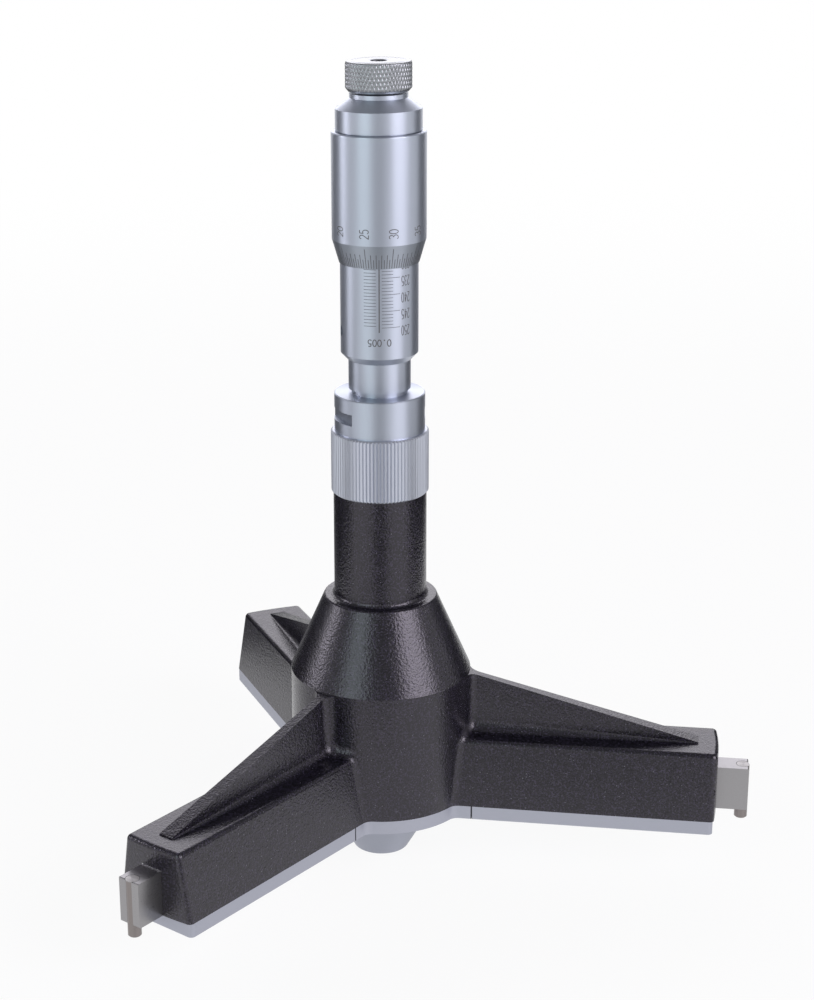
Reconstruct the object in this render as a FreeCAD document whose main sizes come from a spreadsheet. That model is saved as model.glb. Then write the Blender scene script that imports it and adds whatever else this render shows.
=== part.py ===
# Three-point inside micrometer for bores of 225 to 250 mm, standing on its nose.
# +Z points up along the micrometer's axis, and the origin is the centre of the nose's flat foot.
# Arm 1 points along +X, and arms 2 and 3 follow at 120 degree steps, counter-clockwise from above.
import FreeCAD, Part
import math
import os
import re
import Sketcher

Vector = FreeCAD.Vector
doc = FreeCAD.newDocument("InsideMicrometer")

# Driving sizes, in millimetres, and plain counts. Every other size follows from them.
sizes = {
    # Measuring range, and how far above its lower end the reading stands, all bore diameters
    "smallest_bore": 225.0,
    "bore_range": 25.0,
    "reading_rise": 7.275,
    # Jaw travel for each millimetre of the cone's feed
    "cone_gain": 0.5,
    "running_gap": 0.03,
    # Room at the blind end of a hole or a slot, and how far a cut runs past a face
    "end_room": 0.5,
    "cut_over": 1.0,
    # Nose and cover plates
    "nose_height": 17.4,
    "nose_foot_radius": 8.7,
    "nose_top_radius": 18.8,
    "nose_floor": 3.0,
    "nose_edge": 0.5,
    "nose_spigot_radius": 15.5,
    "nose_wall": 1.9,
    "nose_pit_radius": 3.2,
    "cover_thickness": 4.3,
    "stub_length": 2.15,
    "cover_setback": 1.1,
    "seam_gap": 0.12,
    # Casting: arms
    "arm_setback": 6.1,
    "arm_height": 21.2,
    "arm_top_half": 10.4,
    "arm_foot_half": 13.8,
    "arm_edge": 1.6,
    "arm_end_edge": 1.5,
    "rib_root": 6.0,
    "rib_tip_root": 0.3,
    "rib_setback": 6.3,
    "rib_step": 0.4,
    "rib_foot_half": 2.5,
    "rib_slant_angle": 3.434,
    "rib_drop": 0.6,
    # Casting: hub, cone and tube
    "hub_radius": 28.4,
    "hub_height": 41.1,
    "hub_root": 3.4,
    "shoulder_height": 24.6,
    "shoulder_radius": 17.6,
    "tube_radius": 14.4,
    "tube_height": 34.0,
    "tube_root": 1.3,
    "tube_bore": 9.0,
    "spigot_radius": 12.2,
    "spigot_height": 9.6,
    "cavity_radius": 18.5,
    "cavity_room": 1.0,
    # Measuring cone and what feeds it
    "contact_drop": 4.27,
    "cone_radius": 17.0,
    "cone_tip_radius": 1.9,
    "cone_rim": 3.0,
    "stem_radius": 6.0,
    "stem_length": 55.0,
    "bush_radius": 10.0,
    "bush_height": 24.0,
    "key_radius": 1.5,
    "key_depth": 1.6,
    "key_play": 0.3,
    "rod_radius": 3.5,
    "rod_length": 48.0,
    "rod_socket": 12.0,
    "ball_radius": 2.5,
    "ball_rise": 1.0,
    # Jaws
    "nib_start": 3.0,
    "jaw_height": 14.1,
    "jaw_half": 3.75,
    "jaw_body_start": 7.4,
    "nib_half": 2.0,
    "nib_drop": 4.5,
    "nib_rise": 2.4,
    "land_half": 2.0,
    "land_relief": 0.8,
    "tip_stand": 0.33,
    "pin_radius": 2.0,
    "pin_drop": 3.9,
    "pin_edge": 0.3,
    "jaw_edge": 0.4,
    # Return springs, in grooves under the jaws
    "post_reach": 75.0,
    "post_radius": 1.5,
    "post_sunk": 3.0,
    "groove_half": 2.4,
    "groove_depth": 5.0,
    "groove_start": 50.0,
    "groove_length": 36.0,
    "spring_radius": 1.8,
    "spring_wire": 0.35,
    "spring_turns": 8,
    # Countersunk screws under the covers
    "screw_radius": 1.5,
    "screw_length": 10.0,
    "screw_head_radius": 2.9,
    "screw_head_depth": 1.7,
    "screw_socket": 1.0,
    "screw_side": 8.6,
    "screw_inset": 8.0,
    "screw_hub": 23.4,
    # Coupling ring and head stem
    "ring_radius": 15.0,
    "ring_height": 19.6,
    "ring_edge": 0.5,
    "ring_ridges": 84,
    "ridge_top": 0.3,
    "ridge_height": 0.35,
    "collar_radius": 13.85,
    "collar_height": 11.84,
    "collar_edge": 0.3,
    "flat_radius": 11.9,
    "flat_height": 3.5,
    "flat_lift": 3.8,
    "neck_radius": 9.45,
    "neck_height": 10.56,
    "undercut_radius": 8.6,
    "undercut_height": 1.4,
    "stem_bore": 5.0,
    # Graduated sleeve, inner sleeve and adjusting nut
    "sleeve_radius": 11.75,
    "sleeve_bore": 9.6,
    "sleeve_length": 41.6,
    "sleeve_taper": 2.0,
    "sleeve_taper_height": 2.15,
    "sleeve_hole": 1.6,
    "sleeve_hole_lift": 9.0,
    "scale_lift": 11.97,
    "shank_radius": 6.5,
    "shank_length": 20.4,
    "body_length": 35.6,
    "nut_thread_radius": 7.5,
    "nut_radius": 9.0,
    "nut_height": 7.0,
    "slit_top": 2.5,
    "relief_radius": 5.2,
    # Spindle
    "spindle_radius": 3.9,
    "thread_radius": 4.5,
    "thread_length": 44.6,
    "taper_radius": 3.8,
    "stud_radius": 3.5,
    "stud_length": 6.2,
    # Thimble and its cap
    "thimble_radius": 14.1,
    "thimble_length": 38.9,
    "thimble_gap": 0.1,
    "thimble_lip": 0.15,
    "thimble_guide": 12.0,
    "thimble_bore": 12.7,
    "thimble_web": 4.5,
    "thimble_edge": 0.5,
    "bevel_height": 7.1,
    "cap_radius": 12.85,
    "cap_seat_radius": 12.2,
    "cap_seat_height": 0.3,
    "cap_height": 6.25,
    "cap_slope_height": 3.1,
    "cap_lip_radius": 8.65,
    "cap_lip_height": 1.25,
    "cap_pocket_radius": 6.8,
    # Friction drive and its knob
    "washer_radius": 6.4,
    "washer_height": 1.2,
    "drive_spring_radius": 5.0,
    "drive_spring_wire": 0.4,
    "drive_spring_turns": 2,
    "knob_radius": 9.8,
    "knob_height": 8.7,
    "knob_foot_radius": 8.9,
    "knob_foot_height": 1.1,
    "knob_edge": 0.45,
    "knob_lift": 0.5,
    "knob_boss_radius": 6.2,
    "knob_recess_radius": 2.45,
    "knob_recess_depth": 1.5,
    "drive_screw_radius": 1.5,
    "drive_screw_head": 2.1,
    "drive_screw_head_height": 0.5,
    "drive_screw_slot": 0.35,
}

sheet = doc.addObject("Spreadsheet::Sheet", "Sizes")
for row, (alias, size) in enumerate(sizes.items(), 1):
    sheet.set(f"A{row}", alias)
    sheet.set(f"B{row}", str(size))
    sheet.setAlias(f"B{row}", alias)
doc.recompute()

# Reaches from the micrometer's axis: the contact pins' outer side, the arms, their ribs and covers, the jaws
tip_radius = "((smallest_bore + reading_rise) / 2)"
arm_reach = "(smallest_bore / 2 - arm_setback)"
rib_reach = f"({arm_reach} - rib_setback)"
cover_reach = f"({arm_reach} - cover_setback)"
nib_reach = "(reading_rise / 2 + nib_start)"
seam_radius = "(hub_radius + stub_length)"
screw_taper = "-atan((screw_head_radius - screw_radius) / screw_head_depth)"

# Feed of the cone from the reading to the two ends of the range
feed_down = "((bore_range - reading_rise) / 2 / cone_gain)"
feed_up = "(reading_rise / 2 / cone_gain)"

# Heights above the foot of the nose
cover_top = "(nose_height + cover_thickness)"
arm_top = f"({cover_top} + arm_height)"
hub_top = f"({cover_top} + hub_height)"
shoulder_top = f"({hub_top} + shoulder_height)"
tube_top = f"({shoulder_top} + tube_height)"
spigot_top = f"({tube_top} + spigot_height)"
ring_top = f"({tube_top} + ring_height)"
collar_top = f"({ring_top} + collar_height)"
sleeve_foot = f"({collar_top} + neck_height)"
sleeve_top = f"({sleeve_foot} + sleeve_length)"
jaw_top = f"({cover_top} + jaw_height - running_gap)"
jaw_foot = f"({cover_top} + running_gap)"

# The cone's point, rim and stem: its flank meets the jaws' nibs at the contact's height
contact_height = f"({jaw_top} - contact_drop)"
cone_point = f"({contact_height} - {nib_reach} / cone_gain)"
cone_tip = f"({cone_point} + cone_tip_radius / cone_gain)"
cone_top = f"({cone_point} + cone_radius / cone_gain)"
rim_top = f"({cone_top} + cone_rim)"
stem_top = f"({rim_top} + stem_length)"
cavity_top = f"({rim_top} + {feed_up} + cavity_room)"
bush_top = f"({cavity_top} + bush_height)"
key_height = f"({cavity_top} + bush_height / 2)"
key_foot = "(stem_radius - key_depth + key_play)"
rod_foot = f"({stem_top} - rod_socket)"
rod_top = f"({rod_foot} + rod_length)"
ball_height = f"({rod_top} + ball_rise)"
spindle_foot = f"({ball_height} + ball_radius + running_gap)"

# The thimble's lower edge stands level with the reading on the sleeve's scale
thimble_foot = f"({sleeve_foot} + scale_lift + bore_range - reading_rise)"
thimble_top = f"({thimble_foot} + thimble_length)"
web_foot = f"({thimble_top} - thimble_web)"
thread_foot = f"({web_foot} - thread_length)"
stud_top = f"({thimble_top} + stud_length)"
nut_seat = f"({sleeve_foot} + body_length)"
nut_top = f"({nut_seat} + nut_height)"
inner_top = f"({nut_top} + slit_top)"
cap_shoulder = f"({thimble_top} + cap_seat_height + cap_height)"
cap_lip = f"({cap_shoulder} + cap_slope_height)"
cap_top = f"({cap_lip} + cap_lip_height)"
knob_foot = f"({cap_top} + knob_lift)"
knob_top = f"({knob_foot} + knob_height)"
washer_top = f"({cap_top} - running_gap)"
washer_foot = f"({washer_top} - washer_height)"
recess_floor = f"({knob_top} - knob_recess_depth)"


def bound(text):
    """The expression text with each size's name led to its cell."""
    return re.sub(r"[a-z_]+", lambda word: "Sizes." + word[0] if word[0] in sizes else word[0], text)


def value(text):
    """The expression's present value."""
    return float(sheet.evalExpression(bound(text)))


def new_body(label, turn=0.0):
    """An empty body, turned about the micrometer's axis."""
    body = doc.addObject("PartDesign::Body", label)
    body.Label = label
    body.Placement = FreeCAD.Placement(Vector(), FreeCAD.Rotation(Vector(0, 0, 1), turn))
    return body


def origin_of(body, role):
    """One of the body's own planes or axes."""
    return next(item for item in body.Origin.OriginFeatures if item.Role == role)


def sketch_on(body, role, name, lift="0"):
    """A sketch on one of the body's planes, lifted off it along its normal."""
    sketch = body.newObject("Sketcher::SketchObject", name)
    sketch.AttachmentSupport = (origin_of(body, role), [""])
    sketch.MapMode = "FlatFace"
    if lift != "0":
        sketch.setExpression(".AttachmentOffset.Base.z", bound(lift))
    return sketch


def pin_down(sketch, element, end, across, up):
    """Places a point of the sketch at two expressions."""
    for kind, axis, text in (("DistanceX", -2, across), ("DistanceY", -1, up)):
        if text == "0":
            sketch.addConstraint(Sketcher.Constraint("PointOnObject", element, end, axis))
        else:
            rule = sketch.addConstraint(Sketcher.Constraint(kind, -1, 1, element, end, value(text)))
            sketch.setExpression(f"Constraints[{rule}]", bound(text))


def corner_arc(before, corner, after, radius):
    """The tangent arc that rounds a corner: where it starts and ends, and its circle's arc."""
    to_before = (before - corner).normalize()
    to_after = (after - corner).normalize()
    half = to_before.getAngle(to_after) / 2
    centre = corner + (to_before + to_after).normalize() * (radius / math.sin(half))
    start = corner + to_before * (radius / math.tan(half))
    end = corner + to_after * (radius / math.tan(half))
    angles = [math.atan2(point.y - centre.y, point.x - centre.x) for point in (start, end)]
    forward = (angles[1] - angles[0]) % (2 * math.pi) < math.pi
    if not forward:
        angles.reverse()
    arc = Part.ArcOfCircle(Part.Circle(centre, Vector(0, 0, 1), radius), *angles)
    return start, end, arc, forward


def outline(sketch, corners):
    """A closed outline through corners of (across, up) or, where one is rounded, (across, up, radius)."""
    points = [Vector(value(corner[0]), value(corner[1]), 0) for corner in corners]
    count = len(points)
    arcs = {}
    for number, corner in enumerate(corners):
        if len(corner) == 3:
            neighbours = points[number - 1], points[number], points[(number + 1) % count]
            arcs[number] = corner_arc(*neighbours, value(corner[2]))
    lines = []
    for number in range(count):
        following = (number + 1) % count
        start = arcs[number][1] if number in arcs else points[number]
        end = arcs[following][0] if following in arcs else points[following]
        lines.append(sketch.addGeometry(Part.LineSegment(start, end), False))
    for number, corner in enumerate(corners):
        before = lines[number - 1]
        after = lines[number]
        if number not in arcs:
            sketch.addConstraint(Sketcher.Constraint("Coincident", before, 2, after, 1))
            pin_down(sketch, after, 1, *corner)
            continue
        arc = sketch.addGeometry(arcs[number][2], False)
        first, last = (1, 2) if arcs[number][3] else (2, 1)
        mark = sketch.addGeometry(Part.Point(points[number]), True)
        sketch.addConstraint(Sketcher.Constraint("PointOnObject", mark, 1, before))
        sketch.addConstraint(Sketcher.Constraint("PointOnObject", mark, 1, after))
        pin_down(sketch, mark, 1, *corner[:2])
        sketch.addConstraint(Sketcher.Constraint("Tangent", before, 2, arc, first))
        sketch.addConstraint(Sketcher.Constraint("Tangent", arc, last, after, 1))
        rule = sketch.addConstraint(Sketcher.Constraint("Radius", arc, value(corner[2])))
        sketch.setExpression(f"Constraints[{rule}]", bound(corner[2]))


def ring(sketch, radius, across="0", up="0"):
    """A circle in the sketch."""
    place = Vector(value(across), value(up), 0)
    circle = sketch.addGeometry(Part.Circle(place, Vector(0, 0, 1), value(radius)), False)
    rule = sketch.addConstraint(Sketcher.Constraint("Radius", circle, value(radius)))
    sketch.setExpression(f"Constraints[{rule}]", bound(radius))
    pin_down(sketch, circle, 3, across, up)


def box(across_low, across_high, up_low, up_high):
    """The four corners of an upright rectangle."""
    return [(across_low, up_low), (across_high, up_low), (across_high, up_high), (across_low, up_high)]


def revolve(body, kind, name, corners):
    """A Revolution or Groove of an outline about the body's Z axis."""
    sketch = sketch_on(body, "XZ_Plane", f"{name}Profile")
    outline(sketch, corners)
    feature = body.newObject(f"PartDesign::{kind}", name)
    feature.Profile = sketch
    feature.ReferenceAxis = (sketch, ["V_Axis"])
    feature.Angle = 360
    body.Tip = feature
    doc.recompute()
    return feature


def extrude(body, kind, name, sketch, length, reverse=False, both=False):
    """A Pad or Pocket of a sketch, by a length along its normal, against it, or shared by both sides."""
    feature = body.newObject(f"PartDesign::{kind}", name)
    feature.Profile = sketch
    feature.Type = "Length"
    feature.SideType = "Symmetric" if both else "One side"
    feature.Reversed = reverse
    feature.setExpression("Length", bound(length))
    body.Tip = feature
    doc.recompute()
    return feature


def around(body, name, features, copies=3):
    """The features repeated evenly about the body's Z axis."""
    pattern = body.newObject("PartDesign::PolarPattern", name)
    pattern.Originals = features
    pattern.Axis = (origin_of(body, "Z_Axis"), [""])
    pattern.Angle = 360
    pattern.Occurrences = copies
    body.Tip = pattern
    doc.recompute()
    return pattern


def dress(body, kind, name, size, wanted):
    """A Fillet or Chamfer on those edges of the body that the test accepts."""
    base = body.Tip
    edges = [f"Edge{number}" for number, edge in enumerate(base.Shape.Edges, 1) if wanted(edge)]
    feature = body.newObject(f"PartDesign::{kind}", name)
    feature.Base = (base, edges)
    feature.setExpression("Radius" if kind == "Fillet" else "Size", bound(size))
    body.Tip = feature
    doc.recompute()
    return feature


def turned(label, corners, turn=0.0):
    """A piece that is turned in the lathe, from half of its section."""
    body = new_body(label, turn)
    revolve(body, "Revolution", f"{label}_turned", corners)
    return body


def circle_test(radius, height):
    """Accepts circular edges about the Z axis of this radius and height."""
    def wanted(edge):
        points = edge.discretize(4)
        return all(
            abs(math.hypot(point.x, point.y) - value(radius)) < 0.001
            and abs(point.z - value(height)) < 0.001
            for point in points
        )
    return wanted


def upright_test(radius):
    """Accepts upright straight edges at this distance from the Z axis."""
    def wanted(edge):
        start, end = edge.Vertexes[0].Point, edge.Vertexes[-1].Point
        upright = math.hypot(start.x - end.x, start.y - end.y) < 0.001 < abs(start.z - end.z)
        return upright and abs(math.hypot(start.x, start.y) - value(radius)) < 0.001
    return wanted


def mirrored(right):
    """An outline's right half and its mirror image on the left."""
    return right + [(f"-({corner[0]})", *corner[1:]) for corner in reversed(right)]


def make_casting():
    """The black casting: tube, shoulder cone, hub and three drafted arms, each with a rib that slopes
    down to the arm's end. Hollow for the measuring cone, with a channel in each arm for its jaw."""
    body = new_body("body_casting")
    rib_end = f"({arm_top} + rib_step)"
    rib_rise = f"(({hub_top} - rib_drop - {rib_end}) / ({rib_reach} - hub_radius))"
    rib_peak = f"({rib_end} + {rib_rise} * {rib_reach})"

    # One arm, and its rib between two sections: high at the axis, low at the tip, with a root to match
    section = sketch_on(body, "YZ_Plane", "ArmSection")
    outline(section, mirrored([
        ("arm_foot_half", cover_top),
        ("arm_top_half", arm_top, "arm_edge"),
    ]))
    arm = extrude(body, "Pad", "Arm", section, f"{arm_reach} + cut_over")
    rib = body.newObject("PartDesign::AdditiveLoft", "Rib")
    stations = []
    for name, reach, top, root in (
        ("RibAtAxis", "0", rib_peak, "rib_root"),
        ("RibAtTip", rib_reach, rib_end, "rib_tip_root"),
    ):
        station = sketch_on(body, "YZ_Plane", name, reach)
        outline(station, mirrored([
            ("arm_top_half - arm_edge", f"{arm_top} - arm_edge"),
            ("arm_top_half - arm_edge", arm_top),
            ("rib_foot_half", arm_top, root),
            (f"rib_foot_half - tan(rib_slant_angle) * ({top} - {arm_top})", top),
        ]))
        stations.append(station)
    rib.Profile = stations[0]
    rib.Sections = stations[1:]
    rib.Ruled = True
    body.Tip = rib
    doc.recompute()
    around(body, "Arms", [arm, rib])

    # The arms' ends are turned to one cylinder about the axis
    revolve(body, "Groove", "ArmEndsTurned", box(
        f"-({arm_reach} + 2 * arm_foot_half)", f"-{arm_reach}",
        f"{cover_top} - cut_over", f"{arm_top} + cut_over"))

    # Hub, shoulder and tube are turned about the axis, and the spigot carries the coupling's thread
    revolve(body, "Revolution", "Hub", [
        ("0", cover_top),
        ("-hub_radius", cover_top),
        ("-hub_radius", hub_top),
        ("-shoulder_radius", shoulder_top),
        ("-tube_radius", shoulder_top, "tube_root"),
        ("-tube_radius", tube_top),
        ("-spigot_radius", tube_top),
        ("-spigot_radius", spigot_top),
        ("0", spigot_top),
    ])

    def hub_foot_line(edge):
        points = edge.discretize(5)
        on_hub = all(abs(math.hypot(point.x, point.y) - value("hub_radius")) < 0.001 for point in points)
        low = max(point.z for point in points) < value(cover_top) + 0.01
        high = min(point.z for point in points) > value(f"{hub_top} - rib_drop") - 0.01
        seam = isinstance(edge.Curve, Part.Line)
        return on_hub and not low and not high and not seam

    dress(body, "Fillet", "HubRoots", "hub_root", hub_foot_line)

    def arm_end_line(edge):
        points = edge.discretize(5)
        turned = all(abs(math.hypot(point.x, point.y) - value(arm_reach)) < 0.001 for point in points)
        return turned and max(point.z for point in points) > value(cover_top) + 0.01

    dress(body, "Fillet", "ArmEnds", "arm_end_edge", arm_end_line)
    dress(body, "Fillet", "ShoulderEdge", "tube_root / 2", circle_test("shoulder_radius", shoulder_top))

    # The bores: room for the measuring cone, the guide bush's seat and the cored tube
    revolve(body, "Groove", "Bores", [
        ("0", f"{cover_top} - cut_over"),
        ("-cavity_radius", f"{cover_top} - cut_over"),
        ("-cavity_radius", cavity_top),
        ("-bush_radius", cavity_top),
        ("-bush_radius", bush_top),
        ("-tube_bore", bush_top),
        ("-tube_bore", f"{spigot_top} + cut_over"),
        ("0", f"{spigot_top} + cut_over"),
    ])
    channel = sketch_on(body, "YZ_Plane", "ChannelSection")
    half = "(jaw_half + running_gap)"
    outline(channel, box(f"-{half}", half, f"{cover_top} - cut_over", f"{cover_top} + jaw_height"))
    cut = extrude(body, "Pocket", "Channel", channel, f"{arm_reach} + cut_over", reverse=True)
    around(body, "Channels", [cut])

    # Tapped holes for the cover screws
    holes = sketch_on(body, "XY_Plane", "ScrewHoles", cover_top)
    for across, up in screw_places():
        ring(holes, "screw_radius", across, up)
    depth = "screw_length - cover_thickness + end_room"
    tapped = extrude(body, "Pocket", "TappedHoles", holes, depth, reverse=True)
    around(body, "AllTappedHoles", [tapped])
    return body


def screw_places():
    """Where the screws of one arm and its share of the hub cover stand: four by the arm, one between arms."""
    reaches = f"({seam_radius} + screw_inset)", f"({cover_reach} - screw_inset)"
    pairs = [(across, up) for across in reaches for up in ("screw_side", "-screw_side")]
    return pairs + [("screw_hub * cos(60)", "screw_hub * sin(60)")]


def make_hub_cover():
    """The middle cover plate, with a stub along each arm up to the seam."""
    body = new_body("hub_cover")
    plate = sketch_on(body, "XY_Plane", "HubPlate", "nose_height")
    ring(plate, "hub_radius")
    disc = extrude(body, "Pad", "HubDisc", plate, "cover_thickness")
    stub = sketch_on(body, "XY_Plane", "StubPlate", "nose_height")
    outline(stub, box("0", seam_radius, "-arm_foot_half", "arm_foot_half"))
    short = extrude(body, "Pad", "Stub", stub, "cover_thickness")
    around(body, "Stubs", [short])
    dress(body, "Fillet", "StubRoots", "hub_root", upright_test("hub_radius"))
    opening = sketch_on(body, "XY_Plane", "SpigotHole", "nose_height")
    ring(opening, "nose_spigot_radius")
    extrude(body, "Pocket", "SpigotCut", opening, "cover_thickness", reverse=True)
    sink_screws(body, screw_places()[4:])
    return body


def sink_screws(body, places, copies=3):
    """Countersunk holes through a cover plate, open below."""
    floor = "nose_height"
    through = sketch_on(body, "XY_Plane", "ScrewBores", floor)
    for across, up in places:
        ring(through, "screw_radius", across, up)
    cuts = [extrude(body, "Pocket", "ScrewBoreCuts", through, "cover_thickness", reverse=True)]
    for number, (across, up) in enumerate(places):
        cone = sketch_on(body, "XY_Plane", f"Countersink{number}", floor)
        ring(cone, "screw_head_radius", across, up)
        sink = extrude(body, "Pocket", f"CountersinkCut{number}", cone, "screw_head_depth", reverse=True)
        sink.setExpression("TaperAngle", bound(screw_taper))
        cuts.append(sink)
    doc.recompute()
    if copies > 1:
        around(body, "AllScrewCuts", cuts, copies)


def make_arm_cover(number):
    """The cover plate under one arm: it closes the jaw's channel and holds the spring's post."""
    body = new_body(f"arm_cover_{number}", 120.0 * (number - 1))
    plate = sketch_on(body, "XY_Plane", "ArmPlate", "nose_height")
    outline(plate, [
        (f"{seam_radius} + seam_gap", "-arm_foot_half"),
        (cover_reach, "-arm_foot_half", "arm_end_edge"),
        (cover_reach, "arm_foot_half", "arm_end_edge"),
        (f"{seam_radius} + seam_gap", "arm_foot_half"),
    ])
    extrude(body, "Pad", "ArmPlatePad", plate, "cover_thickness")
    hole = sketch_on(body, "XY_Plane", "PostHole", f"{cover_top} - post_sunk")
    ring(hole, "post_radius", "post_reach")
    extrude(body, "Pocket", "PostHoleCut", hole, "post_sunk", reverse=True)
    sink_screws(body, screw_places()[:4], copies=1)
    return body


def make_screws():
    """All the countersunk screws, as separate solids: four under each arm and three under the hub."""
    body = new_body("cover_screws")
    body.AllowCompound = True
    features = []
    places = screw_places()
    for number, (across, up) in enumerate(places):
        head = sketch_on(body, "XY_Plane", f"ScrewHead{number}", "nose_height")
        ring(head, "screw_head_radius", across, up)
        cone = extrude(body, "Pad", f"ScrewHeadPad{number}", head, "screw_head_depth")
        cone.setExpression("TaperAngle", bound(screw_taper))
        features.append(cone)
    shanks = sketch_on(body, "XY_Plane", "ScrewShanks", "nose_height")
    for across, up in places:
        ring(shanks, "screw_radius", across, up)
    features.append(extrude(body, "Pad", "ScrewShankPads", shanks, "screw_length"))
    sockets = sketch_on(body, "XY_Plane", "ScrewSockets", "nose_height")
    for across, up in places:
        ring(sockets, "screw_socket", across, up)
    features.append(extrude(body, "Pocket", "SocketCuts", sockets, "screw_socket", reverse=True))
    around(body, "AllScrews", features)
    return body


def make_nose():
    """The conical nose that the instrument stands on, hollow for the cone's point."""
    return turned("nose_cap", [
        ("0", "0"),
        ("nose_foot_radius", "0", "nose_edge"),
        ("nose_top_radius", "nose_height"),
        ("nose_spigot_radius", "nose_height"),
        ("nose_spigot_radius", cover_top),
        ("nose_spigot_radius - nose_wall", cover_top),
        ("nose_pit_radius", "nose_floor"),
        ("0", "nose_floor"),
    ])


def make_jaw(number):
    """One jaw: a ground steel blade whose nib rides on the measuring cone, with a groove for the
    contact pin at its outer end and a groove below for the return spring."""
    body = new_body(f"jaw_{number}", 120.0 * (number - 1))
    start = f"({nib_reach} + jaw_body_start)"
    end = f"({tip_radius} - tip_stand)"
    blade = sketch_on(body, "XZ_Plane", "BladeSide")
    outline(blade, [
        (start, jaw_foot),
        (end, jaw_foot, "jaw_edge"),
        (end, jaw_top, "jaw_edge"),
        (start, jaw_top),
    ])
    extrude(body, "Pad", "Blade", blade, "2 * jaw_half", both=True)

    # The nib's land lies along the cone's flank, a running gap away from it
    gap = "(running_gap / cos(atan(cone_gain)))"

    def flank(height):
        return f"(({height} - {cone_point}) * cone_gain + {gap})"

    land_low = f"({contact_height} - land_half)"
    land_high = f"({contact_height} + land_half)"
    nib_foot = f"({contact_height} - nib_drop)"
    nib_top = f"({contact_height} + nib_rise)"
    nib = sketch_on(body, "XZ_Plane", "NibSide")
    outline(nib, [
        (f"{start} + cut_over", nib_foot),
        (f"{flank(land_low)} + land_relief", nib_foot),
        (flank(land_low), land_low),
        (flank(land_high), land_high),
        (f"{flank(land_high)} + land_relief", nib_top),
        (f"{start} + cut_over", nib_top),
    ])
    extrude(body, "Pad", "Nib", nib, "2 * nib_half", both=True)

    groove = sketch_on(body, "XZ_Plane", "SpringGrooveSide")
    groove_foot = f"{jaw_foot} - cut_over"
    groove_top = f"{cover_top} + groove_depth"
    outline(groove, box("groove_start", "groove_start + groove_length", groove_foot, groove_top))
    extrude(body, "Pocket", "SpringGroove", groove, "2 * groove_half", both=True)
    seat = sketch_on(body, "XY_Plane", "PinSeat", groove_foot)
    ring(seat, "pin_radius", f"{tip_radius} - pin_radius")
    extrude(body, "Pocket", "PinGroove", seat, "jaw_height + 2 * cut_over", reverse=True)
    return body


def set_out(item, number, reach):
    """Moves a piece out along one arm."""
    turn = 120 * (number - 1)
    item.setExpression("Placement.Base.x", bound(f"{reach} * cos({turn})"))
    item.setExpression("Placement.Base.y", bound(f"{reach} * sin({turn})"))


def make_contact_pin(number):
    """The hardened pin that touches the bore, set in the jaw's end and standing out below it."""
    pin = [
        ("0", f"{cover_top} - pin_drop"),
        ("pin_radius - pin_edge", f"{cover_top} - pin_drop"),
        ("pin_radius", f"{cover_top} - pin_drop + pin_edge"),
        ("pin_radius", jaw_top),
        ("0", jaw_top),
    ]
    body = turned(f"contact_pin_{number}", pin, 120.0 * (number - 1))
    set_out(body, number, f"({tip_radius} - pin_radius)")
    return body


def coil(label, radius, wire, turns, length):
    """A coil spring of round wire along +Z, from its lower wire's centre to its upper wire's centre."""
    helix = doc.addObject("Part::Helix", f"{label}_helix")
    helix.setExpression("Radius", bound(radius))
    helix.setExpression("Height", bound(length))
    helix.setExpression("Pitch", bound(f"({length}) / {turns}"))
    circle = doc.addObject("Part::Circle", f"{label}_wire")
    circle.setExpression("Radius", bound(wire))
    circle.Placement.Rotation = FreeCAD.Rotation(Vector(1, 0, 0), 90)
    circle.setExpression("Placement.Base.x", bound(radius))
    doc.recompute()
    spring = doc.addObject("Part::Sweep", label)
    spring.Sections = [circle]
    spring.Spine = (helix, [f"Edge{number}" for number in range(1, len(helix.Shape.Edges) + 1)])
    spring.Solid = True
    spring.Frenet = True
    spring.Label = label
    doc.recompute()
    return spring


def make_return_spring(number):
    """The spring that pulls one jaw inward: it pushes on the inner end of the jaw's groove."""
    length = "(post_reach - post_radius - groove_start - 2 * spring_wire)"
    spring = coil(f"return_spring_{number}", "spring_radius", "spring_wire", "spring_turns", length)
    about_axis = FreeCAD.Rotation(Vector(0, 0, 1), 120.0 * (number - 1))
    lay = FreeCAD.Rotation(Vector(0, 1, 0), 90)
    spring.Placement.Rotation = about_axis.multiply(lay)
    set_out(spring, number, "(groove_start + spring_wire)")
    height = f"{cover_top} + spring_radius + spring_wire + running_gap"
    spring.setExpression("Placement.Base.z", bound(height))
    return spring


def make_spring_posts():
    """The three posts, pressed into the arm covers, that the return springs push against."""
    body = new_body("spring_posts")
    body.AllowCompound = True
    spot = sketch_on(body, "XY_Plane", "PostSection", f"{cover_top} - post_sunk")
    ring(spot, "post_radius", "post_reach")
    post = extrude(body, "Pad", "Post", spot, "post_sunk + groove_depth - end_room")
    around(body, "Posts", [post])
    return body


def make_measuring_cone():
    """The cone that spreads the jaws, with its guided stem, the key's slot and the rod's socket."""
    body = turned("measuring_cone", [
        ("0", cone_tip),
        ("-cone_tip_radius", cone_tip),
        ("-cone_radius", cone_top),
        ("-cone_radius", rim_top),
        ("-stem_radius", rim_top),
        ("-stem_radius", stem_top),
        ("-rod_radius", stem_top),
        ("-rod_radius", rod_foot),
        ("0", rod_foot),
    ])
    slot = sketch_on(body, "YZ_Plane", "KeySlot", "stem_radius - key_depth")
    half = "(key_radius + running_gap)"
    low = f"{key_height} - {feed_up} - key_radius - end_room"
    high = f"{key_height} + {feed_down} + key_radius + end_room"
    outline(slot, box(f"-{half}", half, low, high))
    extrude(body, "Pocket", "KeySlotCut", slot, "key_depth + cut_over", reverse=True)
    return body


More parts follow.
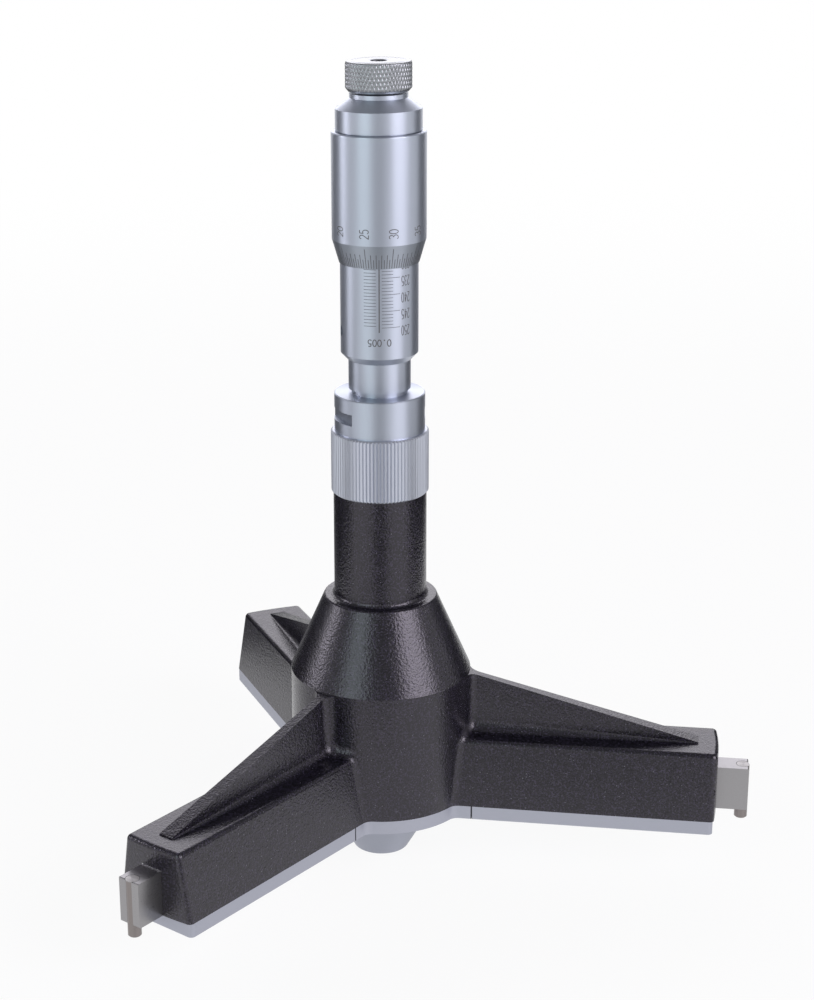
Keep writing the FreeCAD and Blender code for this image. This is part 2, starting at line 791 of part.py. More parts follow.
def make_guide_bush():
    """The bronze bush that guides the cone's stem, pressed in above the cavity."""
    body = turned("guide_bush", box("-bush_radius", "-(stem_radius + running_gap)", cavity_top, bush_top))
    hole = sketch_on(body, "YZ_Plane", "KeyHole")
    ring(hole, "key_radius", "0", key_height)
    extrude(body, "Pocket", "KeyHoleCut", hole, "bush_radius + cut_over", reverse=True)
    return body


def make_guide_key():
    """The pin through the bush that runs in the stem's slot and keeps the cone from turning."""
    body = new_body("guide_key")
    spot = sketch_on(body, "YZ_Plane", "KeySection", key_foot)
    ring(spot, "key_radius", "0", key_height)
    extrude(body, "Pad", "Key", spot, f"bush_radius - key_play - {key_foot}")
    return body


def make_push_rod():
    """The rod in the cone's stem that carries the ball in a cup on its top."""
    body = turned("push_rod", [
        ("0", rod_foot),
        ("-rod_radius", rod_foot),
        ("-rod_radius", rod_top),
        ("0", rod_top),
    ])
    cup = body.newObject("PartDesign::SubtractiveSphere", "BallCup")
    cup.setExpression("Radius", bound("ball_radius"))
    cup.setExpression(".AttachmentOffset.Base.z", bound(ball_height))
    cup.AttachmentSupport = (origin_of(body, "XY_Plane"), [""])
    cup.MapMode = "FlatFace"
    body.Tip = cup
    return body


def make_push_ball():
    """The hardened ball between the turning spindle and the rod, which doesn't turn."""
    ball = doc.addObject("Part::Sphere", "push_ball")
    ball.Label = "push_ball"
    ball.setExpression("Radius", bound("ball_radius"))
    ball.setExpression("Placement.Base.z", bound(ball_height))
    return ball


def make_coupling_ring():
    """The ring that joins the head to the tube by a thread in its bore, with a straight knurl: one
    V-groove between two ridges, repeated around it."""
    body = turned("coupling_ring", [
        ("-spigot_radius", tube_top),
        ("-(ring_radius - ring_edge)", tube_top),
        ("-ring_radius", f"{tube_top} + ring_edge"),
        ("-ring_radius", f"{ring_top} - ring_edge"),
        ("-(ring_radius - ring_edge)", ring_top),
        ("-spigot_radius", ring_top),
    ])
    half = "((pi * ring_radius / ring_ridges - ridge_top / 2) * (ridge_height + end_room) / ridge_height)"
    groove = sketch_on(body, "XY_Plane", "KnurlGroove", tube_top)
    outline(groove, [
        ("ring_radius + end_room", f"-{half}"),
        ("ring_radius + end_room", half),
        ("ring_radius - ridge_height", "0"),
    ])
    cut = extrude(body, "Pocket", "KnurlCut", groove, "ring_height", reverse=True)
    around(body, "Knurl", [cut], sizes["ring_ridges"])
    return body


def make_head_stem():
    """The turned stem of the head: threaded spigot, spanner collar, undercut and neck."""
    body = turned("head_stem", [
        ("-stem_bore", spigot_top),
        ("-spigot_radius", spigot_top),
        ("-spigot_radius", ring_top),
        ("-collar_radius", ring_top),
        ("-collar_radius", f"{collar_top} - collar_edge"),
        ("-(collar_radius - collar_edge)", collar_top),
        ("-undercut_radius", collar_top),
        ("-undercut_radius", f"{collar_top} + undercut_height"),
        ("-neck_radius", f"{collar_top} + undercut_height"),
        ("-neck_radius", sleeve_foot),
        ("-shank_radius", sleeve_foot),
        ("-shank_radius", f"{sleeve_foot} - shank_length"),
        ("-stem_bore", f"{sleeve_foot} - shank_length"),
    ])
    flats = sketch_on(body, "XY_Plane", "SpannerFlats", f"{ring_top} + flat_lift")
    wide = "(2 * collar_radius)"
    outline(flats, box("flat_radius", wide, f"-{wide}", wide))
    cut = extrude(body, "Pocket", "SpannerFlatCut", flats, "flat_height", reverse=True)
    around(body, "BothFlats", [cut], 2)
    body.Placement.Rotation = FreeCAD.Rotation(Vector(0, 0, 1), 210.0)
    return body


def make_inner_sleeve():
    """The head's inner sleeve: guide of the spindle below, its threaded nut above."""
    return turned("inner_sleeve", [
        ("-(spindle_radius + running_gap)", f"{sleeve_foot} - shank_length"),
        ("-shank_radius", f"{sleeve_foot} - shank_length"),
        ("-shank_radius", sleeve_foot),
        ("-sleeve_bore", sleeve_foot),
        ("-sleeve_bore", nut_seat),
        ("-nut_thread_radius", nut_seat),
        ("-nut_thread_radius", inner_top),
        ("-(thread_radius + running_gap)", inner_top),
        ("-(thread_radius + running_gap)", f"{thread_foot} + {feed_up} + end_room"),
        ("-relief_radius", f"{thread_foot} + {feed_up} + end_room"),
        ("-relief_radius", f"{thread_foot} - {feed_down} - end_room"),
        ("-(spindle_radius + running_gap)", f"{thread_foot} - {feed_down} - end_room"),
    ])


def make_graduated_sleeve():
    """The sleeve that carries the scale, with a spanner hole by which it is turned to zero."""
    body = turned("graduated_sleeve", [
        ("-sleeve_bore", sleeve_foot),
        ("-(sleeve_radius - sleeve_taper)", sleeve_foot),
        ("-sleeve_radius", f"{sleeve_foot} + sleeve_taper_height"),
        ("-sleeve_radius", sleeve_top),
        ("-sleeve_bore", sleeve_top),
    ])
    hole = sketch_on(body, "YZ_Plane", "SpannerHole")
    ring(hole, "sleeve_hole", "0", f"{sleeve_foot} + sleeve_hole_lift")
    extrude(body, "Pocket", "SpannerHoleCut", hole, "sleeve_radius + cut_over", reverse=True)
    body.Placement.Rotation = FreeCAD.Rotation(Vector(0, 0, 1), 200.5)
    return body


def make_adjusting_nut():
    """The nut that closes the inner sleeve's thread on the spindle."""
    return turned("adjusting_nut", box("-nut_radius", "-nut_thread_radius", nut_seat, nut_top))


def make_spindle():
    """The spindle: plain shank, fine thread, the thimble's taper seat and the cap's stud."""
    return turned("spindle", [
        ("0", spindle_foot),
        ("-spindle_radius", spindle_foot),
        ("-spindle_radius", thread_foot),
        ("-thread_radius", thread_foot),
        ("-thread_radius", web_foot),
        ("-taper_radius", thimble_top),
        ("-stud_radius", thimble_top),
        ("-stud_radius", stud_top),
        ("-drive_screw_radius", stud_top),
        ("-drive_screw_radius", thimble_top),
        ("0", thimble_top),
    ])


def make_thimble():
    """The thimble: a thin bevelled skirt over the sleeve and a web that seats on the spindle's taper."""
    guide = "(sleeve_radius + thimble_gap)"
    return turned("thimble", [
        (f"-{guide}", thimble_foot),
        (f"-({guide} + thimble_lip)", thimble_foot),
        ("-thimble_radius", f"{thimble_foot} + bevel_height"),
        ("-thimble_radius", thimble_top, "thimble_edge"),
        ("-taper_radius", thimble_top),
        ("-thread_radius", web_foot),
        ("-thimble_bore", web_foot),
        ("-thimble_bore", f"{thimble_foot} + thimble_guide"),
        (f"-{guide}", f"{thimble_foot} + thimble_guide"),
    ])


def make_thimble_cap():
    """The cap that clamps the thimble on the spindle and houses the friction drive."""
    return turned("thimble_cap", [
        ("-stud_radius", thimble_top),
        ("-cap_seat_radius", thimble_top),
        ("-cap_seat_radius", f"{thimble_top} + cap_seat_height"),
        ("-cap_radius", f"{thimble_top} + cap_seat_height"),
        ("-cap_radius", cap_shoulder),
        ("-cap_lip_radius", cap_lip),
        ("-cap_lip_radius", cap_top),
        ("-cap_pocket_radius", cap_top),
        ("-cap_pocket_radius", stud_top),
        ("-stud_radius", stud_top),
    ])


def make_drive_spring():
    """The spring of the friction drive, on the floor of the cap's pocket."""
    length = f"({washer_foot} - {stud_top} - 2 * drive_spring_wire)"
    spring = coil("drive_spring", "drive_spring_radius", "drive_spring_wire", "drive_spring_turns", length)
    spring.setExpression("Placement.Base.z", bound(f"{stud_top} + drive_spring_wire"))
    return spring


def make_drive_washer():
    """The washer that the spring presses against the knob's boss."""
    return turned("drive_washer", box(
        "-washer_radius", "-(drive_screw_radius + running_gap)", washer_foot, washer_top))


def make_knob():
    """The knob of the friction drive: it turns the thimble until the jaws touch, and then slips."""
    return turned("ratchet_knob", [
        ("-(drive_screw_radius + running_gap)", cap_top),
        ("-knob_boss_radius", cap_top),
        ("-knob_boss_radius", knob_foot),
        ("-knob_foot_radius", knob_foot),
        ("-knob_radius", f"{knob_foot} + knob_foot_height"),
        ("-knob_radius", f"{knob_top} - knob_edge"),
        ("-(knob_radius - knob_edge)", knob_top),
        ("-knob_recess_radius", knob_top),
        ("-knob_recess_radius", recess_floor),
        ("-(drive_screw_radius + running_gap)", recess_floor),
    ])


def make_drive_screw():
    """The slotted screw in the spindle's stud that holds the knob."""
    head_foot = f"({recess_floor} + running_gap)"
    head_top = f"({head_foot} + drive_screw_head_height)"
    body = turned("drive_screw", [
        ("0", thimble_top),
        ("-drive_screw_radius", thimble_top),
        ("-drive_screw_radius", head_foot),
        ("-drive_screw_head", head_foot),
        ("-drive_screw_head", head_top),
        ("0", head_top),
    ])
    slot = sketch_on(body, "XY_Plane", "ScrewSlot", f"{head_top} - drive_screw_head_height / 2")
    wide = "(drive_screw_head + cut_over)"
    outline(slot, box(f"-{wide}", wide, "-drive_screw_slot", "drive_screw_slot"))
    extrude(body, "Pocket", "ScrewSlotCut", slot, "drive_screw_head_height", reverse=True)
    return body


pieces = [make_casting(), make_hub_cover(), make_screws(), make_nose(), make_spring_posts()]
for arm_number in (1, 2, 3):
    pieces.append(make_arm_cover(arm_number))
    pieces.append(make_jaw(arm_number))
    pieces.append(make_contact_pin(arm_number))
    pieces.append(make_return_spring(arm_number))
pieces += [make_measuring_cone(), make_guide_bush(), make_guide_key(), make_push_rod(), make_push_ball()]
pieces += [make_coupling_ring(), make_head_stem(), make_inner_sleeve(), make_graduated_sleeve()]
pieces += [make_adjusting_nut(), make_spindle(), make_thimble(), make_thimble_cap()]
pieces += [make_drive_spring(), make_drive_washer(), make_knob(), make_drive_screw()]
doc.recompute()

for item in doc.Objects:
    if "Invalid" in item.State or "Error" in item.State:
        raise RuntimeError(f"{item.Label} failed: {item.State}")
for piece in pieces:
    if piece.Shape.isNull() or not piece.Shape.isValid():
        raise RuntimeError(f"{piece.Label} has no valid shape")

os.makedirs("parts", exist_ok=True)
for piece in pieces:
    piece.Shape.exportStep(f"parts/{piece.Label}.step")
    print(piece.Label, len(piece.Shape.Solids), round(piece.Shape.Volume, 2))
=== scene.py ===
import math

import bpy
import numpy as np
from mathutils import Matrix, Vector


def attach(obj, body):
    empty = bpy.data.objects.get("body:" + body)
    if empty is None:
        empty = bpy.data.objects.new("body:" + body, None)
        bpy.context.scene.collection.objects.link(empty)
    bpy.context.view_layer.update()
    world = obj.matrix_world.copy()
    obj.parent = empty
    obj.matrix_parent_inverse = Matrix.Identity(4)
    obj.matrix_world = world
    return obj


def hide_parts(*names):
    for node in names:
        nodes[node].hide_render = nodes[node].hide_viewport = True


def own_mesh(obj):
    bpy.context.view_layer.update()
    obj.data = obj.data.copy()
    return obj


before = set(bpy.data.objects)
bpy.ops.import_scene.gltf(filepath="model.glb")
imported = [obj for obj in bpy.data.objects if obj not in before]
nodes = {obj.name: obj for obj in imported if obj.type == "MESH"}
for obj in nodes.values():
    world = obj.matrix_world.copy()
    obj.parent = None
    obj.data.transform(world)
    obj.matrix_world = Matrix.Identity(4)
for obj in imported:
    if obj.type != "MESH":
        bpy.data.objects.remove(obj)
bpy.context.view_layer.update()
MM = 0.001

# Camera: a little above the instrument and slightly to the right of the gap between arms 2 and 3.
# The photograph is cropped off the lens's centre, so the camera has a small shift. Angles are in
# radians: the bearing is taken round the axis from -Y, and the yaw from the line to the axis.
camera_reach, camera_height = 607.58 * MM, 323.1 * MM
camera_bearing, camera_yaw, camera_pitch, camera_roll = 0.13846, 0.04445, 0.31703, -0.01737
focal_pixels, centre_pixels, photo_pixels = 2069.5, (292.56, 482.62), (814, 1000)
sensor_width = 36

aim = camera_bearing + camera_yaw
forward = Vector((
    -math.sin(aim) * math.cos(camera_pitch),
    math.cos(aim) * math.cos(camera_pitch),
    -math.sin(camera_pitch),
))
level_right = Vector((math.cos(aim), math.sin(aim), 0))
level_up = level_right.cross(forward)
right = level_right * math.cos(camera_roll) + level_up * math.sin(camera_roll)
up = level_up * math.cos(camera_roll) - level_right * math.sin(camera_roll)
camera = bpy.data.objects.new("camera", bpy.data.cameras.new("camera"))
camera.matrix_world = Matrix((
    (right.x, up.x, -forward.x, camera_reach * math.sin(camera_bearing)),
    (right.y, up.y, -forward.y, -camera_reach * math.cos(camera_bearing)),
    (right.z, up.z, -forward.z, camera_height),
    (0, 0, 0, 1),
))
lens = camera.data
lens.sensor_fit = "AUTO"
lens.sensor_width = sensor_width
lens.lens = focal_pixels * sensor_width / photo_pixels[1]
lens.shift_x = (photo_pixels[0] / 2 - centre_pixels[0]) / photo_pixels[1]
lens.shift_y = (centre_pixels[1] - photo_pixels[1] / 2) / photo_pixels[1]
lens.clip_start, lens.clip_end = 0.01, 100
bpy.context.scene.collection.objects.link(camera)
bpy.context.scene.camera = camera
bpy.context.scene.view_settings.view_transform = "Standard"

# Floor: a white sweep, lit near the instrument, that fades into a plain white distance. A little of
# that plain white lies over the near part too, so that it is about as white as the photograph's.


class Value:
    """One output of a material's nodes. Sums, products and the like of values add their Math nodes."""

    def __init__(self, socket):
        self.socket = socket

    def math(self, operation, first, second):
        tree = self.socket.id_data
        node = tree.nodes.new("ShaderNodeMath")
        node.operation = operation
        for port, value in zip(node.inputs, (first, second)):
            if isinstance(value, Value):
                tree.links.new(value.socket, port)
            else:
                port.default_value = value
        return Value(node.outputs[0])

    def __add__(self, other):
        return self.math("ADD", self, other)

    def __radd__(self, other):
        return self.math("ADD", other, self)

    def __sub__(self, other):
        return self.math("SUBTRACT", self, other)

    def __rsub__(self, other):
        return self.math("SUBTRACT", other, self)

    def __mul__(self, other):
        return self.math("MULTIPLY", self, other)

    def __rmul__(self, other):
        return self.math("MULTIPLY", other, self)

    def __pow__(self, other):
        return self.math("POWER", self, other)

    def __abs__(self):
        return self.math("ABSOLUTE", self, 0)

    def __lt__(self, other):
        return self.math("LESS_THAN", self, other)

    def __gt__(self, other):
        return self.math("GREATER_THAN", self, other)

    def maximum(self, other):
        return self.math("MAXIMUM", self, other)


class Nodes:
    """The nodes of a material or of the room, with the one shader that they feed."""

    def __init__(self, tree, shader):
        self.tree = tree
        self.shader = tree.nodes[shader]

    def node(self, kind, settings, inputs, output=0):
        """Adds a node of this type: its settings first, then its sockets' values or links."""
        node = self.tree.nodes.new("ShaderNode" + kind)
        for setting, value in settings.items():
            setattr(node, setting, value)
        for socket, value in inputs.items():
            if isinstance(value, Value):
                self.tree.links.new(value.socket, node.inputs[socket])
            else:
                node.inputs[socket].default_value = value
        return Value(node.outputs[output])

    def mix(self, share, first, second):
        """The first colour where the share is 0, and the second where it is 1. The node's colours go
        in at its sockets 6 and 7, and come out at 2."""
        return self.node("Mix", {"data_type": "RGBA"}, {"Factor": share, 6: first, 7: second}, 2)

    def ramp(self, value, **ends):
        """The value brought from one span to another, and kept inside that."""
        spans = {socket.replace("_", " "): end for socket, end in ends.items()}
        return self.node("MapRange", {}, {"Value": value, **spans}, 0)

    def feed(self, **links):
        """Links values to the shader's sockets."""
        for socket, value in links.items():
            self.tree.links.new(value.socket, self.shader.inputs[socket.replace("_", " ")])


class Finish(Nodes):
    """A material with one Principled shader, and with these constants on its sockets."""

    def __init__(self, name, **constants):
        self.material = bpy.data.materials.new(name)
        self.material.use_nodes = True
        super().__init__(self.material.node_tree, "Principled BSDF")
        for socket, value in constants.items():
            self.shader.inputs[socket.replace("_", " ")].default_value = value

    def place(self, scale):
        """The object's own coordinates, times a scale along each axis."""
        here = self.node("TexCoord", {}, {}, "Object")
        return self.node("Mapping", {}, {"Vector": here, "Scale": scale})

    def spots(self):
        """The three coordinates of the object's own place."""
        here = {0: self.place((1, 1, 1))}
        return [self.node("SeparateXYZ", {}, here, axis) for axis in range(3)]

    def noise(self, scale, detail=2.0, rough=0.5):
        """Noise with this many grains to the metre, along each axis or, from one number, along all."""
        scale = scale if isinstance(scale, tuple) else (scale, scale, scale)
        return self.node("TexNoise", {}, {
            "Vector": self.place(scale), "Scale": 1.0, "Detail": detail, "Roughness": rough}, "Fac")

    def bump(self, height, strength, distance):
        """The normal of a surface that this height roughens by up to this distance."""
        return self.node("Bump", {}, {
            "Strength": strength, "Distance": distance, "Height": height}, "Normal")


def grid_piece(name, points, finish, closed_u=False, closed_v=False, capped=False):
    """A mesh over a grid of points, shape (rows, columns, 3), closed along its rows or columns if
    asked, and with its first and last rows filled if they are to be caps."""
    rows, columns = points.shape[:2]
    index = np.arange(rows * columns).reshape(rows, columns)
    caps = [index[0, ::-1].tolist(), index[-1].tolist()] if capped else []
    if closed_u:
        index = np.concatenate((index, index[:1]))
    if closed_v:
        index = np.concatenate((index, index[:, :1]), axis=1)
    corners = (index[:-1, :-1], index[:-1, 1:], index[1:, 1:], index[1:, :-1])
    quads = np.stack(corners, axis=-1).reshape(-1, 4).tolist()
    mesh = bpy.data.meshes.new(name)
    mesh.from_pydata(points.reshape(-1, 3).tolist(), [], quads + caps)
    mesh.shade_smooth()
    mesh.materials.append(finish.material)
    piece = bpy.data.objects.new(name, mesh)
    bpy.context.scene.collection.objects.link(piece)
    return piece


sweep_near, sweep_far, near_white = 0.45, 1.3, 0.9
ring_radii, ring_count = np.array([0.0, 0.3, 1.0, 3.0, 12.0]), 64
sunk = 0.02 * MM
sweep = Finish("white_sweep", Roughness=0.9, Base_Color=(0.94, 0.94, 0.95, 1))
from_axis = sweep.node("VectorMath", {"operation": "LENGTH"}, {0: sweep.place((1, 1, 1))}, "Value")
whiter = sweep.node("MapRange", {"interpolation_type": "SMOOTHSTEP"}, {
    "Value": from_axis, "From Min": sweep_near, "From Max": sweep_far, "To Min": near_white}, 0)
seen = [sweep.node("LightPath", {}, {}, ray)
        for ray in ("Is Camera Ray", "Is Glossy Ray", "Is Transmission Ray")]
white = sweep.node("Emission", {}, {"Color": (1, 1, 1, 1), "Strength": 1.0})
lit = Value(sweep.shader.outputs[0])
both = sweep.node("MixShader", {}, {0: whiter * (seen[0] + seen[1] + seen[2]), 1: lit, 2: white})
sweep.tree.links.new(both.socket, sweep.tree.nodes["Material Output"].inputs["Surface"])
ring_angles = np.linspace(2 * np.pi, 0, ring_count, endpoint=False)
floor_points = np.stack((
    ring_radii[:, None] * np.cos(ring_angles),
    ring_radii[:, None] * np.sin(ring_angles),
    np.zeros((len(ring_radii), ring_count)) - sunk,
), axis=-1)
floor = grid_piece("floor", floor_points, sweep, closed_v=True)

# Room: white near the horizon, and dimmer and a little cooler above, so that upright metal is lit
# from the side and the upper faces keep their depth
dim_from, dim_to, dimmed = 0.05, 0.4, 0.32
world = bpy.data.worlds.new("room")
bpy.context.scene.world = world
world.use_nodes = True
room = Nodes(world.node_tree, "Background")
height = room.node("SeparateXYZ", {}, {0: room.node("TexCoord", {}, {}, "Generated")}, 2)
fade = room.node("MapRange", {"interpolation_type": "SMOOTHSTEP"}, {
    "Value": height, "From Min": dim_from, "From Max": dim_to, "To Min": 1.0, "To Max": dimmed}, 0)
room.feed(Strength=fade, Color=room.mix(fade, (0.945, 0.94, 1.0, 1), (1, 1, 1, 1)))

# Lamps: a strong soft box at the right, a wide cool one at the left with a narrow one beyond it, and
# a long one behind, for the upper faces


def around_camera(bearing, distance, height):
    """A place at this height and distance from the axis, and at this bearing from the camera's own,
    in degrees to the right."""
    angle = camera_bearing - math.pi / 2 + math.radians(bearing)
    return Vector((distance * math.cos(angle), distance * math.sin(angle), height))


def soft_box(name, bearing, distance, height, size, radiance, colour):
    """A soft box that faces the instrument; its power gives this radiance over its whole face."""
    lamp = bpy.data.objects.new(name, bpy.data.lights.new(name, "AREA"))
    lamp.data.shape = "RECTANGLE"
    lamp.data.size, lamp.data.size_y = size
    lamp.data.energy = math.pi * size[0] * size[1] * radiance
    lamp.data.color = colour
    lamp.location = around_camera(bearing, distance, height)
    towards = Vector((0, 0, 0.1)) - lamp.location
    lamp.rotation_euler = towards.to_track_quat("-Z", "Y").to_euler()
    lamp.visible_camera = False
    bpy.context.scene.collection.objects.link(lamp)


soft_box("right_box", 53, 1.1, 0.66, (0.8, 0.7), 4.6, (0.97, 0.93, 1.0))
soft_box("left_box", -37, 1.2, 0.62, (0.7, 0.8), 1.7, (0.84, 1.0, 0.98))
soft_box("far_left_box", -95, 1.1, 0.45, (0.28, 0.45), 4.9, (0.96, 0.93, 1.0))
soft_box("back_box", 180, 1.5, 0.88, (1.6, 1.06), 1.65, (0.97, 0.95, 1.0))

# Dark cards: upright ones at both sides and behind, for the darker edges of the metal and the enamel,
# and three on the floor, where the white paper ends


def dark_card(name, finish, bearing, distance, half_width, height, depth=0.0):
    """A card at this bearing and distance, which only reflections show: upright with this height, or
    lying outwards with this depth."""
    middle = around_camera(bearing, distance, 1 * MM)
    across = Vector((middle.x, middle.y, 0)).normalized() * depth + Vector((0, 0, height))
    sideways = Vector((-middle.y, middle.x, 0)).normalized() * half_width
    corners = np.array([[middle - sideways, middle + sideways],
                        [middle - sideways + across, middle + sideways + across]])
    card = grid_piece(name, corners, finish)
    card.visible_camera = card.visible_diffuse = False
    card.visible_shadow = card.visible_transmission = False


grey_card = Finish("grey_card", Roughness=1.0, Base_Color=(0.25, 0.25, 0.25, 1))
black_card = Finish("black_card", Roughness=1.0, Base_Color=(0.03, 0.03, 0.03, 1))
dark_card("right_card", grey_card, 140, 0.45, 0.22, 0.13)
dark_card("left_card", grey_card, -150, 0.45, 0.22, 0.13)
dark_card("right_side_card", grey_card, 124, 0.5, 0.15, 0.3)
dark_card("left_side_card", grey_card, -126, 0.5, 0.16, 0.3)
dark_card("low_right_card", black_card, 109, 0.24, 0.2, 0.075)
dark_card("low_left_card", black_card, -111, 0.24, 0.2, 0.075)
dark_card("front_card", black_card, 0, 0.21, 0.09, height=0.0, depth=0.35)
dark_card("right_floor_card", grey_card, 130, 0.3, 0.16, height=0.0, depth=0.3)
dark_card("left_floor_card", grey_card, -139, 0.19, 0.14, height=0.0, depth=0.41)

# Casting: tube, cone, hub and ribbed arms in one light-alloy casting, sprayed with a tough black
# enamel that dries to a fine leathery skin. It is nearly black, with violet grains and a few pale
# specks. A pale metallic strip above each jaw's slot is a painted highlight on the slot's top edge.


def dress(finish, *names):
    """Gives CAD nodes this finish."""
    for name in names:
        mesh = nodes[name].data
        mesh.materials.clear()
        mesh.materials.append(finish.material)


def along_arm(x, y):
    """How far out a place lies along its nearest arm: the largest of its three projections."""
    across = 3 ** 0.5 / 2
    return x.maximum(y * across - x * 0.5).maximum(y * -across - x * 0.5)


slot_edge_highlight_half_width, slot_edge_highlight_start, slot_edge_highlight_foot, slot_edge_highlight_top = 3.9 * MM, 105 * MM, 35.8 * MM, 36.05 * MM
speck_size, speck_share = 0.13, 0.75
enamel = Finish("black_enamel", IOR=1.62, Specular_Tint=(0.95, 0.91, 1.0, 1))
skin = enamel.noise(1700, 2.0, 0.6)
pebbles = enamel.node("TexVoronoi", {"feature": "SMOOTH_F1"}, {
    "Vector": enamel.place((1600, 1600, 1600)), "Scale": 1.0}, "Distance")
leather = skin * 0.7 + pebbles * 0.7 + enamel.noise(700, 1.0) * 0.4
grains = enamel.ramp(enamel.noise(1900, 1.0), From_Min=0.48, From_Max=0.66)
violet = enamel.mix(grains, (0.001, 0.0008, 0.002, 1), (0.024, 0.02, 0.036, 1))
cell = {"Vector": enamel.place((900, 900, 900)), "Scale": 1.0}
cell_colour = enamel.node("TexVoronoi", {"feature": "F1"}, cell, "Color")
chosen = enamel.node("SeparateColor", {}, {0: cell_colour}, 0) > speck_share
specks = (enamel.node("TexVoronoi", {"feature": "F1"}, cell, "Distance") < speck_size) * chosen
speckled = enamel.mix(specks, violet, (0.11, 0.11, 0.13, 1))
x, y, z = enamel.spots()
outwards = along_arm(x, y)
# Painted highlight: a pale metallic strip on the end face, just above each jaw's slot
slot_edge_highlight = (x * x + y * y - outwards * outwards < slot_edge_highlight_half_width ** 2) * (outwards > slot_edge_highlight_start)
slot_edge_highlight = slot_edge_highlight * (z > slot_edge_highlight_foot) * (z < slot_edge_highlight_top)
enamel.feed(
    Base_Color=enamel.mix(slot_edge_highlight, speckled, (0.5, 0.5, 0.52, 1)),
    Metallic=slot_edge_highlight,
    Roughness=0.17 + skin * 0.12,
    Normal=enamel.bump(leather, 1.0, 0.1 * MM))
dress(enamel, "body_casting")

# Cover plates below the arms and the hub: light alloy, milled, blasted and clear anodised to a matte
# silver, and held by countersunk screws. A dark seam shows where two of them meet.
seam_place, seam_half = 30.61 * MM, 0.24 * MM
anodised = Finish("matte_anodised", Metallic=1.0)
grain = anodised.noise(9000)
x, y, z = anodised.spots()
seam = abs(along_arm(x, y) - seam_place) < seam_half
anodised.feed(
    Base_Color=anodised.mix(seam, (0.415, 0.425, 0.49, 1), (0.06, 0.06, 0.07, 1)),
    Roughness=0.45 + grain * 0.12,
    Normal=anodised.bump(grain, 0.3, 0.01 * MM))
dress(anodised, "hub_cover", "arm_cover_1", "arm_cover_2", "arm_cover_3")

# Nose cap: the foot that the instrument stands on. It is turned from light alloy, left as it comes
# from the lathe, and screwed into the hub's cover.


def turned_metal(name, colour, rough, marks, depth, below=None):
    """Metal with the fine rings of the lathe: noise that is squeezed along the axis, so that it runs
    round the piece, roughens the gloss a little and rounds into shallow grooves. The rings draw each
    light out along the axis, so the gloss is turned a quarter and stretched. Below a height it may
    have another colour."""
    turned = Finish(name, Metallic=1.0, Anisotropic=0.7, Anisotropic_Rotation=0.25,
                    Base_Color=(*colour, 1))
    if below:
        low_height, low_colour = below
        low = turned.spots()[2] < low_height
        turned.feed(Base_Color=turned.mix(low, (*colour, 1), (*low_colour, 1)))
    rings = turned.noise((25, 25, marks), 3.0, 0.6)
    cloud = turned.noise((160, 160, 90))
    turned.feed(Roughness=rough + rings * 0.08 + cloud * 0.05, Normal=turned.bump(rings, 0.5, depth))
    return turned


turned_alloy = turned_metal("turned_alloy", (0.36, 0.375, 0.435), 0.42, 3500, 0.005 * MM)
dress(turned_alloy, "nose_cap")

# Head: the stem with its spanner collar, the sleeve on it, the thimble and the cap that closes it are
# steel, turned and satin chromed. The thimble's downward-facing bevel is painted darker, as painted
# shade.
bevel_top = 200.195
satin_chrome = turned_metal("satin_chrome", (0.45, 0.485, 0.565), 0.33, 5000, 0.002 * MM)
dress(satin_chrome, "head_stem", "graduated_sleeve", "thimble_cap")
# Painted shade: below the bevel's top the thimble's chrome gets a darker colour
chrome_with_painted_bevel_shade = turned_metal("chrome_with_painted_bevel_shade", (0.435, 0.47, 0.55), 0.33, 5000, 0.002 * MM,
                               ((bevel_top + 0.005) * MM, (0.34, 0.37, 0.425)))
dress(chrome_with_painted_bevel_shade, "thimble")

# Coupling ring: steel, rolled with a straight knurl for the hand and chromed. It screws the head to
# the casting's tube.
rolled_chrome = Finish("rolled_chrome", Metallic=1.0, Base_Color=(0.535, 0.56, 0.64, 1))
rolled_grain = rolled_chrome.noise(2500, 3.0)
rolled_chrome.feed(Roughness=0.3 + rolled_grain * 0.12,
                   Normal=rolled_chrome.bump(rolled_grain, 0.4, 0.01 * MM))
dress(rolled_chrome, "coupling_ring")

# Sleeve's scale: cut with a pantograph and filled with grey paint. An index line, with the marks for
# whole sizes of the bore on one side and for half ones on the other, every fifth size written upside
# down, and below them what one line of the thimble stands for.


def engraving(name, strokes, radius, finish, width):
    """Painted lines on a surface of revolution. Each stroke is a path of (arc, height) in millimetres.
    A flat bar is carried along it: its two sides lie half a width away, square to the path, its top
    just above the surface and its foot just below. The arc over the first radius is the angle round
    the axis, and radius(height) is the distance from it."""
    foot, top = -0.06, 0.012
    corners, faces = [], []
    for path in strokes:
        path = np.asarray(path, float)
        along = np.gradient(path, axis=0)
        along /= np.linalg.norm(along, axis=1, keepdims=True)
        side = np.stack((-along[:, 1], along[:, 0]), axis=1) * width / 2
        flat = np.stack((path - side, path - side, path + side, path + side), axis=1)
        out = radius(flat[..., 1]) + np.array([foot, top, top, foot])
        turn = flat[..., 0] / radius(0)
        start = sum(len(part) for part in corners)
        bar = np.stack((out * np.cos(turn), out * np.sin(turn), flat[..., 1]), axis=-1)
        corners.append(bar.reshape(-1, 3) * MM)
        ring = start + np.arange(len(path) * 4).reshape(-1, 4)
        after = np.roll(ring, -1, axis=1)
        faces += np.stack((ring[:-1], ring[1:], after[1:], after[:-1]), axis=-1).reshape(-1, 4).tolist()
        faces += [ring[0].tolist(), ring[-1][::-1].tolist()]
    mesh = bpy.data.meshes.new(name)
    mesh.from_pydata(np.concatenate(corners).tolist(), [], faces)
    mesh.materials.append(finish.material)
    piece = bpy.data.objects.new(name, mesh)
    bpy.context.scene.collection.objects.link(piece)
    return piece


